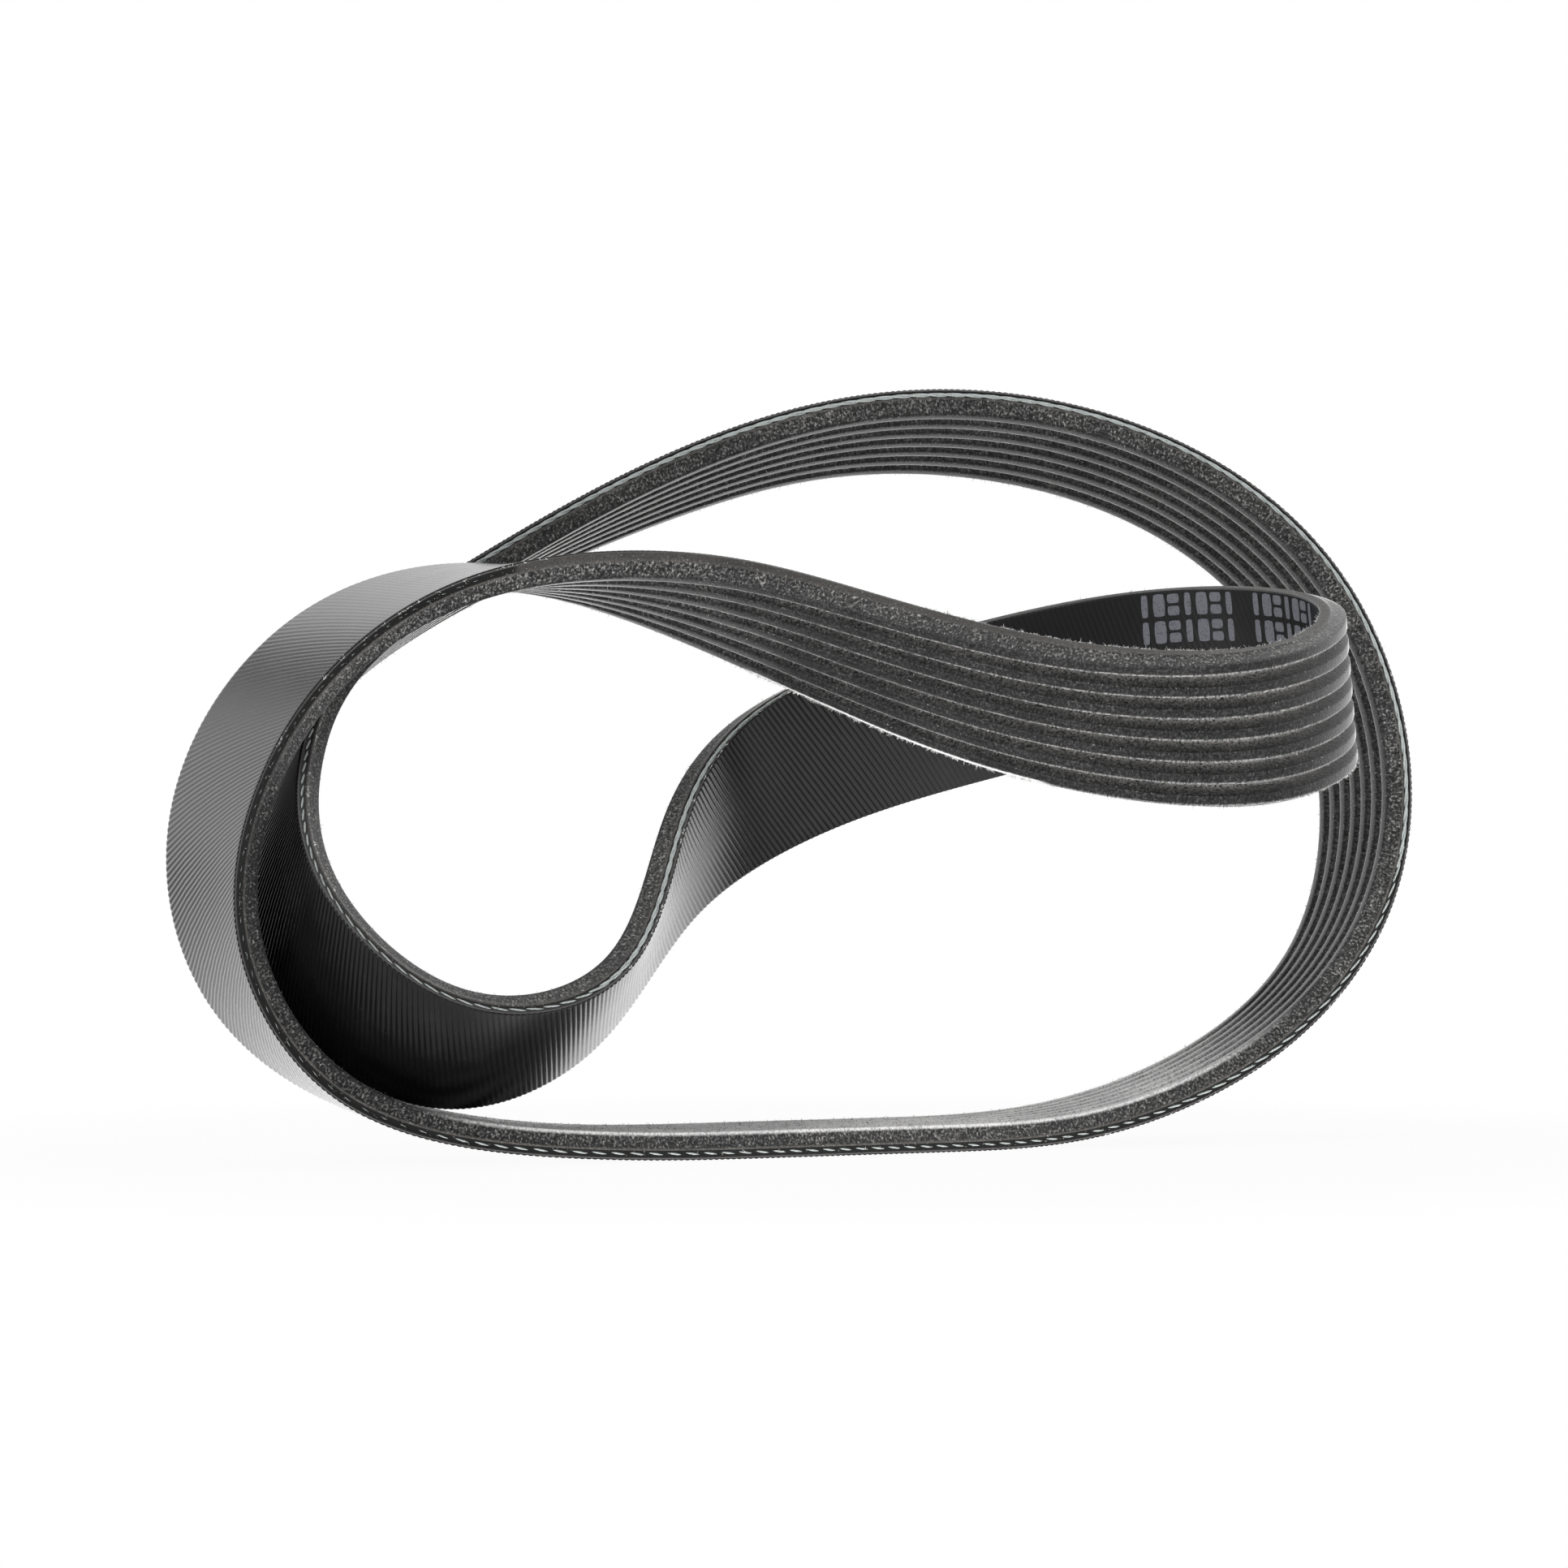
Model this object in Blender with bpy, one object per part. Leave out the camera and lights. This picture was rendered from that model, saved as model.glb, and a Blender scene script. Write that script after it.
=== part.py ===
"""Ribbed drive belt of a car engine, lying loose on a floor in two crossed loops.

The belt is one closed moulded piece.  A rib section is carried along a closed route, so every face of
the solid follows from the section's sizes and from the route's points.  Metres, +Z up, the floor at Z = 0.
The front of the object faces -Y, and its left end lies towards -X.
"""
import math
from dataclasses import dataclass

import bmesh
import bpy
import numpy as np

MM = 0.001

# Section of the belt, across its width and from its flat back to its rib tips
RIB_COUNT = 7
RIB_PITCH = 3.56 * MM
RIB_HEIGHT = 2.4 * MM
RIB_TIP_WIDTH = 1.55 * MM
RIB_FLANK_ANGLE = math.radians(20.0)
BELT_THICKNESS = 4.3 * MM
BELT_LENGTH = 985.0 * MM

# Width of the belt for which the depths of the route are drawn
DRAWN_WIDTH = 24.92 * MM

# Spacing of the cross sections: the longest step, and the largest turn from one to the next
LONGEST_STEP = 12.0 * MM
LARGEST_TURN = math.radians(11.0)
ROUTE_SAMPLES_PER_POINT = 48

RUBBER_COLOUR = (0.045, 0.045, 0.047, 1.0)
RUBBER_ROUGHNESS = 0.62


@dataclass(frozen=True)
class RoutePoint:
    """One control point of the route that the middle of the belt's back follows, in millimetres.

    `side` and `rise` are the parts along X and Z of the unit vector that points across the belt to its
    near edge; the rest of that vector points towards the viewer, along -Y.  `nest_x` and `nest_z` say how
    many belt thicknesses the strand is pushed along X and Z by the strand that it lies against.
    """

    x: float
    depth: float
    z: float
    side: float
    rise: float
    nest_x: float = 0.0
    nest_z: float = 0.0


# The route from the middle of the floor strand towards the left, then around both loops
ROUTE = (
    # floor strand, resting flat on its back
    RoutePoint(19.0, 19.5, 0.0, 0.50, 0.00),
    RoutePoint(-8.5, 4.0, 0.0, 0.48, 0.00),
    RoutePoint(-34.5, -9.5, 0.0, 0.42, 0.00),
    # outer band around the left end
    RoutePoint(-68.5, -18.5, 5.0, 0.00, -0.04),
    RoutePoint(-89.0, -17.5, 28.0, 0.24, 0.46),
    RoutePoint(-90.0, -8.0, 58.0, 0.72, 0.20),
    RoutePoint(-72.5, 3.5, 84.5, 0.46, -0.30),
    # front strand, turning its ribs to the viewer on its way to the right
    RoutePoint(-43.0, 7.5, 94.5, 0.02, -0.08),
    RoutePoint(-10.5, 10.0, 88.0, 0.04, 0.48),
    RoutePoint(16.5, -1.5, 76.5, -0.14, 0.78),
    RoutePoint(43.5, -14.5, 67.5, 0.16, 0.78),
    # turn at the right end of the small loop
    RoutePoint(78.0, -15.0, 64.5, -0.08, 0.98),
    RoutePoint(90.5, 19.0, 76.0, -0.12, 0.94),
    RoutePoint(61.5, 43.0, 77.5, -0.04, 0.98),
    # back strand, falling to the left behind the front strand
    RoutePoint(34.5, 21.0, 71.5, -0.12, 0.98),
    RoutePoint(3.5, 22.0, 62.5, -0.40, 0.84),
    RoutePoint(-15.5, 4.5, 47.5, -0.02, 0.64),
    # bottom of the small loop, above the floor strand
    RoutePoint(-22.5, -13.0, 15.5, 0.30, 0.44, 0.0, 1.0),
    RoutePoint(-51.0, -30.5, 7.0, 0.20, 0.64, 0.0, 1.0),
    # strand inside the outer band
    RoutePoint(-81.5, -23.5, 29.5, 0.18, 0.86, 1.0, 0.7),
    RoutePoint(-87.0, 1.0, 55.5, 0.54, 0.82, 1.0, 0.0),
    RoutePoint(-77.5, 22.0, 79.0, 0.50, 0.40, 0.7, -0.7),
    RoutePoint(-52.5, 36.5, 91.5, 0.38, 0.22),
    # top strand of the large loop, rising behind the front strand
    RoutePoint(-27.5, 46.0, 104.5, 0.16, 0.28),
    RoutePoint(1.5, 53.0, 116.0, 0.12, 0.32),
    RoutePoint(31.5, 58.0, 118.0, 0.16, 0.40),
    RoutePoint(62.5, 62.5, 110.5, 0.24, 0.38),
    # right end of the large loop, coming down to the floor
    RoutePoint(88.0, 64.0, 91.5, 0.34, 0.32),
    RoutePoint(99.5, 62.5, 61.5, 0.40, 0.18),
    RoutePoint(95.0, 56.0, 30.5, 0.40, 0.24),
    RoutePoint(74.0, 44.5, 10.5, 0.40, 0.06),
    RoutePoint(45.5, 33.0, 0.0, 0.36, 0.00),
)


def belt_width():
    """Width of the belt, one pitch for each rib."""
    return RIB_COUNT * RIB_PITCH


def belt_section():
    """Closed outline of the section as (across, below the back) pairs, from the near edge of the back."""
    half_width = belt_width() / 2.0
    flank_run = RIB_HEIGHT * math.tan(RIB_FLANK_ANGLE)
    half_tip = RIB_TIP_WIDTH / 2.0
    root_depth = BELT_THICKNESS - RIB_HEIGHT
    outline = [(half_width, 0.0), (half_width, root_depth)]
    for rib in range(RIB_COUNT):
        middle = half_width - (rib + 0.5) * RIB_PITCH
        outline.append((middle + half_tip + flank_run, root_depth))
        outline.append((middle + half_tip, BELT_THICKNESS))
        outline.append((middle - half_tip, BELT_THICKNESS))
        outline.append((middle - half_tip - flank_run, root_depth))
    outline += [(-half_width, root_depth), (-half_width, 0.0)]
    return outline


def spline_weights(count, samples):
    """Weights of a closed uniform cubic B-spline, one row for each sample, and those of its slope."""
    place = np.arange(count * samples) / samples
    first = np.floor(place).astype(int)
    t = place - first
    shape = ((1 - t) ** 3 / 6, (3 * t ** 3 - 6 * t ** 2 + 4) / 6,
             (-3 * t ** 3 + 3 * t ** 2 + 3 * t + 1) / 6, t ** 3 / 6)
    slope = (-(1 - t) ** 2 / 2, (3 * t ** 2 - 4 * t) / 2, (-3 * t ** 2 + 2 * t + 1) / 2, t ** 2 / 2)
    value = np.zeros((len(place), count))
    change = np.zeros((len(place), count))
    for step in range(4):
        column = (first - 1 + step) % count
        value[np.arange(len(place)), column] += shape[step]
        change[np.arange(len(place)), column] += slope[step]
    return value, change


def unit(vectors):
    """Each row scaled to a length of one."""
    return vectors / np.linalg.norm(vectors, axis=1)[:, None]


def route_frames():
    """Dense samples of the route: place, direction to the near edge, and outward normal of the back."""
    depth_scale = belt_width() / DRAWN_WIDTH
    nest = BELT_THICKNESS / MM
    points = np.array([(p.x + p.nest_x * nest, p.depth * depth_scale, p.z + p.nest_z * nest) for p in ROUTE]) * MM
    across = np.array([(p.side, -math.sqrt(1.0 - p.side ** 2 - p.rise ** 2), p.rise) for p in ROUTE])
    value, change = spline_weights(len(ROUTE), ROUTE_SAMPLES_PER_POINT)

    drawn = value @ points
    drawn_length = np.linalg.norm(np.roll(drawn, -1, axis=0) - drawn, axis=1).sum()
    points *= (BELT_LENGTH / drawn_length, 1.0, BELT_LENGTH / drawn_length)

    place = value @ points
    along = unit(change @ points)
    width_axis = value @ across
    width_axis = unit(width_axis - (width_axis * along).sum(axis=1)[:, None] * along)
    return place, width_axis, np.cross(width_axis, along)


def pick_sections(place, width_axis, back_normal):
    """Indices of the samples that get a cross section, closer together where the belt bends or twists."""
    step = np.linalg.norm(np.roll(place, -1, axis=0) - place, axis=1)
    turn = np.linalg.norm(np.roll(back_normal, -1, axis=0) - back_normal, axis=1)
    twist = np.linalg.norm(np.roll(width_axis, -1, axis=0) - width_axis, axis=1)
    demand = np.cumsum(step / LONGEST_STEP + np.hypot(turn, twist) / LARGEST_TURN)
    count = math.ceil(demand[-1])
    return np.searchsorted(demand, np.arange(count) * demand[-1] / count)


def rubber():
    """Material of the moulded belt."""
    material = bpy.data.materials.new("belt_rubber")
    material.use_nodes = True
    shader = material.node_tree.nodes["Principled BSDF"]
    shader.inputs["Base Color"].default_value = RUBBER_COLOUR
    shader.inputs["Roughness"].default_value = RUBBER_ROUGHNESS
    shader.inputs["Metallic"].default_value = 0.0
    return material


def build_belt():
    """Sweep the section around the route, close it on itself, and centre it over the origin."""
    place, width_axis, back_normal = route_frames()
    chosen = pick_sections(place, width_axis, back_normal)
    outline = np.array(belt_section())
    corners = (place[chosen, None]
               + outline[None, :, :1] * width_axis[chosen, None]
               - outline[None, :, 1:] * back_normal[chosen, None])
    lowest, highest = corners.min(axis=(0, 1)), corners.max(axis=(0, 1))
    corners[..., :2] -= (lowest[:2] + highest[:2]) / 2.0

    belt = bmesh.new()
    rings = [[belt.verts.new(corner) for corner in ring] for ring in corners]
    for ring, following in zip(rings, rings[1:] + rings[:1]):
        for corner in range(len(outline)):
            after = (corner + 1) % len(outline)
            belt.faces.new((ring[corner], ring[after], following[after], following[corner]))
    bmesh.ops.recalc_face_normals(belt, faces=belt.faces)
    bmesh.ops.triangulate(belt, faces=belt.faces)
    mesh = bpy.data.meshes.new("drive_belt")
    belt.to_mesh(mesh)
    belt.free()
    mesh.materials.append(rubber())
    mesh.shade_smooth()
    mesh.set_sharp_from_angle(angle=math.radians(30.0))
    node = bpy.data.objects.new("drive_belt", mesh)
    bpy.context.scene.collection.objects.link(node)
    return node


def main():
    for item in list(bpy.data.objects):
        bpy.data.objects.remove(item, do_unlink=True)
    build_belt()


main()
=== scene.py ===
"""Looks of a ribbed drive belt that lies loose on a floor in two crossed loops.

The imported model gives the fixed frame.  The belt's visible body, its ridged backing, the tension cords along
both edges, the loose fibres and the plain print marks are swept along the belt's own route, in metres, +Z up,
with the front of the object facing -Y.
"""

import logging
import math
from dataclasses import dataclass, field
from enum import Enum
from typing import Any, Optional, Sequence, Union

import bpy
import numpy as np
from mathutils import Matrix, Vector


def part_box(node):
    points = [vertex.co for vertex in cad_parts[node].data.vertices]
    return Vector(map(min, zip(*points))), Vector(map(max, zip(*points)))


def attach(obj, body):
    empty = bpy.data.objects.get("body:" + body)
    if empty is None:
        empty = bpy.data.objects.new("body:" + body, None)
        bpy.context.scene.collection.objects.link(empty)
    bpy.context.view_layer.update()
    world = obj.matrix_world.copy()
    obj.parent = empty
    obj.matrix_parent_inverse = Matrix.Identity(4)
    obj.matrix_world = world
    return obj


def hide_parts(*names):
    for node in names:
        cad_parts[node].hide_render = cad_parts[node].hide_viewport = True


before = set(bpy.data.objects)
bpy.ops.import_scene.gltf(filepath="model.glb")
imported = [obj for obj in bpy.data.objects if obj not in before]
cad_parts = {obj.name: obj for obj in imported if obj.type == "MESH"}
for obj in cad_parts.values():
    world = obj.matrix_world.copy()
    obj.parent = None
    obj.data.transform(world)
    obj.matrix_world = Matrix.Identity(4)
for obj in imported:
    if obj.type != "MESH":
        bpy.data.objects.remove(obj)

LOG = logging.getLogger("drive_belt")
MM = 0.001
NODE = "drive_belt"
BODY = "root"

Colour = tuple[float, float, float]
Number = Union[int, float]


class Edge(Enum):
    """The two edges of the belt: the one nearer the viewer where both loops cross, and the other one."""

    NEAR = 1.0
    FAR = -1.0


class Exposure(Enum):
    """How far the cut side of the belt bares its outermost tension cord, as the inset of the cord's axis."""

    OPEN = 0.30 * MM
    NARROW = 0.43 * MM
    DASHED = 0.45 * MM
    GRAZED = 0.475 * MM
    BURIED = 0.66 * MM


@dataclass(frozen=True)
class RoutePoint:
    """One control point of the route of the middle of the belt's back, in millimetres.

    `side` and `rise` are the parts along X and Z of the unit vector that points across the belt to its near
    edge.  `nest_x` and `nest_z` push the strand by belt thicknesses off the strand that it lies against.
    """

    x: float
    depth: float
    z: float
    side: float
    rise: float
    nest_x: float = 0.0
    nest_z: float = 0.0


ROUTE_POINTS = (
    # floor strand, resting flat on its back
    RoutePoint(19.0, 19.5, 0.0, 0.50, 0.00),
    RoutePoint(-8.5, 4.0, 0.0, 0.48, 0.00),
    RoutePoint(-34.5, -9.5, 0.0, 0.42, 0.00),
    # outer band around the left end
    RoutePoint(-68.5, -18.5, 5.0, 0.00, -0.04),
    RoutePoint(-89.0, -17.5, 28.0, 0.24, 0.46),
    RoutePoint(-90.0, -8.0, 58.0, 0.72, 0.20),
    RoutePoint(-72.5, 3.5, 84.5, 0.46, -0.30),
    # front strand, turning its ribs to the viewer on its way to the right
    RoutePoint(-43.0, 7.5, 94.5, 0.02, -0.08),
    RoutePoint(-10.5, 10.0, 88.0, 0.04, 0.48),
    RoutePoint(16.5, -1.5, 76.5, -0.14, 0.78),
    RoutePoint(43.5, -14.5, 67.5, 0.16, 0.78),
    # turn at the right end of the small loop
    RoutePoint(78.0, -15.0, 64.5, -0.08, 0.98),
    RoutePoint(90.5, 19.0, 76.0, -0.12, 0.94),
    RoutePoint(61.5, 43.0, 77.5, -0.04, 0.98),
    # back strand, falling to the left behind the front strand
    RoutePoint(34.5, 21.0, 71.5, -0.12, 0.98),
    RoutePoint(3.5, 22.0, 62.5, -0.40, 0.84),
    RoutePoint(-15.5, 4.5, 47.5, -0.02, 0.64),
    # bottom of the small loop, above the floor strand
    RoutePoint(-22.5, -13.0, 15.5, 0.30, 0.44, 0.0, 1.0),
    RoutePoint(-51.0, -30.5, 7.0, 0.20, 0.64, 0.0, 1.0),
    # strand inside the outer band
    RoutePoint(-81.5, -23.5, 29.5, 0.18, 0.86, 1.0, 0.7),
    RoutePoint(-87.0, 1.0, 55.5, 0.54, 0.82, 1.0, 0.0),
    RoutePoint(-77.5, 22.0, 79.0, 0.50, 0.40, 0.7, -0.7),
    RoutePoint(-52.5, 36.5, 91.5, 0.38, 0.22),
    # top strand of the large loop, rising behind the front strand
    RoutePoint(-27.5, 46.0, 104.5, 0.16, 0.28),
    RoutePoint(1.5, 53.0, 116.0, 0.12, 0.32),
    RoutePoint(31.5, 58.0, 118.0, 0.16, 0.40),
    RoutePoint(62.5, 62.5, 110.5, 0.24, 0.38),
    # right end of the large loop, coming down to the floor
    RoutePoint(88.0, 64.0, 91.5, 0.34, 0.32),
    RoutePoint(99.5, 62.5, 61.5, 0.40, 0.18),
    RoutePoint(95.0, 56.0, 30.5, 0.40, 0.24),
    RoutePoint(74.0, 44.5, 10.5, 0.40, 0.06),
    RoutePoint(45.5, 33.0, 0.0, 0.36, 0.00),
)


@dataclass(frozen=True)
class BeltSizes:
    """Driving sizes of the belt's section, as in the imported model."""

    rib_count: int = 7
    rib_pitch: float = 3.56 * MM
    rib_height: float = 2.4 * MM
    rib_tip: float = 1.55 * MM
    flank_angle: float = math.radians(20.0)
    thickness: float = 4.3 * MM
    length: float = 985.0 * MM
    drawn_width: float = 24.92 * MM

    @property
    def half_width(self) -> float:
        """Half of the belt's width."""
        return self.rib_count * self.rib_pitch / 2.0

    @property
    def root_depth(self) -> float:
        """Depth of the bottom of the grooves below the back."""
        return self.thickness - self.rib_height

    @property
    def flank_run(self) -> float:
        """Width of a rib's flank across the belt."""
        return self.rib_height * math.tan(self.flank_angle)


class Route:
    """Closed path of the belt with its frame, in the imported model's coordinates."""

    SAMPLES_PER_POINT = 256

    def __init__(self, sizes: BeltSizes, box: tuple[Vector, Vector]) -> None:
        """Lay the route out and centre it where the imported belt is.

        Args:
            sizes: Sizes of the belt.
            box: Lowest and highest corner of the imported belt.
        """
        self.sizes = sizes
        nest = sizes.thickness / MM
        depth_scale = 2.0 * sizes.half_width / sizes.drawn_width
        points = np.array([(p.x + p.nest_x * nest, p.depth * depth_scale, p.z + p.nest_z * nest)
                           for p in ROUTE_POINTS]) * MM
        across = np.array([(p.side, -math.sqrt(1.0 - p.side ** 2 - p.rise ** 2), p.rise)
                           for p in ROUTE_POINTS])
        value, change = self._spline(len(ROUTE_POINTS))
        drawn = self._length(value @ points)
        points *= (sizes.length / drawn, 1.0, sizes.length / drawn)
        self._place = value @ points
        tangent = self._unit(change @ points)
        side = value @ across
        self._across = self._unit(side - (side * tangent).sum(axis=1)[:, None] * tangent)
        self._back = np.cross(self._across, tangent)
        steps = np.linalg.norm(np.roll(self._place, -1, axis=0) - self._place, axis=1)
        self._run = np.concatenate([[0.0], np.cumsum(steps)])
        self.length = float(self._run[-1])
        self.shift = self._centre(box)
        self._place += self.shift

    @classmethod
    def _spline(cls, count: int) -> tuple[np.ndarray, np.ndarray]:
        """Weights of a closed uniform cubic B-spline.

        Args:
            count: Number of control points.

        Returns:
            The weights of the value and of the slope, one row for each sample.
        """
        place = np.arange(count * cls.SAMPLES_PER_POINT) / cls.SAMPLES_PER_POINT
        first = np.floor(place).astype(int)
        t = place - first
        shape = ((1 - t) ** 3 / 6, (3 * t ** 3 - 6 * t ** 2 + 4) / 6,
                 (-3 * t ** 3 + 3 * t ** 2 + 3 * t + 1) / 6, t ** 3 / 6)
        slope = (-(1 - t) ** 2 / 2, (3 * t ** 2 - 4 * t) / 2, (-3 * t ** 2 + 2 * t + 1) / 2, t ** 2 / 2)
        value = np.zeros((len(place), count))
        change = np.zeros((len(place), count))
        rows = np.arange(len(place))
        for step in range(4):
            column = (first - 1 + step) % count
            value[rows, column] += shape[step]
            change[rows, column] += slope[step]
        return value, change

    @staticmethod
    def _unit(vectors: np.ndarray) -> np.ndarray:
        """Each row scaled to a length of one."""
        return vectors / np.linalg.norm(vectors, axis=1)[:, None]

    @staticmethod
    def _length(points: np.ndarray) -> float:
        """Length of a closed chain of points."""
        return float(np.linalg.norm(np.roll(points, -1, axis=0) - points, axis=1).sum())

    def _centre(self, box: tuple[Vector, Vector]) -> np.ndarray:
        """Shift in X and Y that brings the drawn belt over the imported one.

        Args:
            box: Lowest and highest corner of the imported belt.

        Returns:
            The shift as a vector.
        """
        half, deep = self.sizes.half_width, self.sizes.thickness
        corners = np.concatenate([self._place + w * self._across - d * self._back
                                  for w, d in ((half, 0), (-half, 0), (half, deep), (-half, deep))])
        drawn = (corners.min(axis=0) + corners.max(axis=0)) / 2.0
        packed = np.array(box[0] + box[1]) / 2.0
        return np.array([packed[0] - drawn[0], packed[1] - drawn[1], 0.0])

    def at(self, run: np.ndarray) -> tuple[np.ndarray, np.ndarray, np.ndarray]:
        """Frame of the route at given lengths along it.

        Args:
            run: Lengths along the back, from the middle of the floor strand.

        Returns:
            Places, unit vectors to the near edge, and outward normals of the back.
        """
        wrapped = np.mod(run, self.length)
        found = []
        for table in (self._place, self._across, self._back):
            closed = np.vstack([table, table[:1]])
            columns = [np.interp(wrapped, self._run, closed[:, axis]) for axis in range(3)]
            found.append(np.stack(columns, axis=1))
        return found[0], self._unit(found[1]), self._unit(found[2])

    def points(self, run: np.ndarray, across: np.ndarray, below: np.ndarray) -> np.ndarray:
        """Points of the belt from its own coordinates.

        Args:
            run: Lengths along the back.
            across: Distances from the middle towards the near edge, same shape as run.
            below: Depths below the back, same shape as run.

        Returns:
            An array of points, one row each.
        """
        place, side, back = self.at(run.ravel())
        return place + across.ravel()[:, None] * side - below.ravel()[:, None] * back

    def of_point(self, index: float) -> float:
        """Length along the back at the place nearest to a control point's parameter."""
        sample = int(round((index % len(ROUTE_POINTS)) * self.SAMPLES_PER_POINT))
        return float(self._run[sample])


class Signal:
    """A shader socket on which Python's arithmetic adds Math nodes."""

    def __init__(self, graph: "Graph", socket: bpy.types.NodeSocket) -> None:
        """Wrap a socket of a graph.

        Args:
            graph: The graph that the socket belongs to.
            socket: An output socket.
        """
        self.graph = graph
        self.socket = socket

    def _maths(self, operation: str, *values: Union["Signal", Number]) -> "Signal":
        """Result of a Math node on the given values."""
        return self.graph.maths(operation, *values)

    def __add__(self, other: Union["Signal", Number]) -> "Signal":
        """Sum with a value or a signal."""
        return self._maths("ADD", self, other)

    __radd__ = __add__

    def __sub__(self, other: Union["Signal", Number]) -> "Signal":
        """Difference from a value or a signal."""
        return self._maths("SUBTRACT", self, other)

    def __rsub__(self, other: Number) -> "Signal":
        """A value less this signal."""
        return self._maths("SUBTRACT", other, self)

    def __mul__(self, other: Union["Signal", Number]) -> "Signal":
        """Product with a value or a signal."""
        return self._maths("MULTIPLY", self, other)

    __rmul__ = __mul__

    def __truediv__(self, other: Union["Signal", Number]) -> "Signal":
        """Quotient by a value or a signal."""
        return self._maths("DIVIDE", self, other)

    def __gt__(self, other: Union["Signal", Number]) -> "Signal":
        """One where this signal is greater."""
        return self._maths("GREATER_THAN", self, other)

    def __lt__(self, other: Union["Signal", Number]) -> "Signal":
        """One where this signal is less."""
        return self._maths("LESS_THAN", self, other)

    def __abs__(self) -> "Signal":
        """Absolute value."""
        return self._maths("ABSOLUTE", self)

    def fraction(self) -> "Signal":
        """Part after the decimal point."""
        return self._maths("FRACT", self)

    def within(self, span: tuple[float, float], fade: float) -> "Signal":
        """One inside a span, with smooth ends.

        Args:
            span: Values at which the rise starts and the fall ends.
            fade: Length of the rise and of the fall.

        Returns:
            One inside the span, nought outside it.
        """
        start, end = span
        return self.step(start, start + fade) * (1.0 - self.step(end - fade, end))

    def clipped(self) -> "Signal":
        """Value held between nought and one."""
        return self.graph.out("ShaderNodeClamp", "Result", Value=self)

    def step(self, low: float, high: float) -> "Signal":
        """Smooth rise from nought at low to one at high.

        Args:
            low: Value at which the rise starts.
            high: Value at which the rise ends.

        Returns:
            The risen signal.
        """
        settings = {"interpolation_type": "SMOOTHSTEP"}
        values = {"Value": self, "From Min": low, "From Max": high}
        return self.graph.out("ShaderNodeMapRange", "Result", settings, **values)


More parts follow.
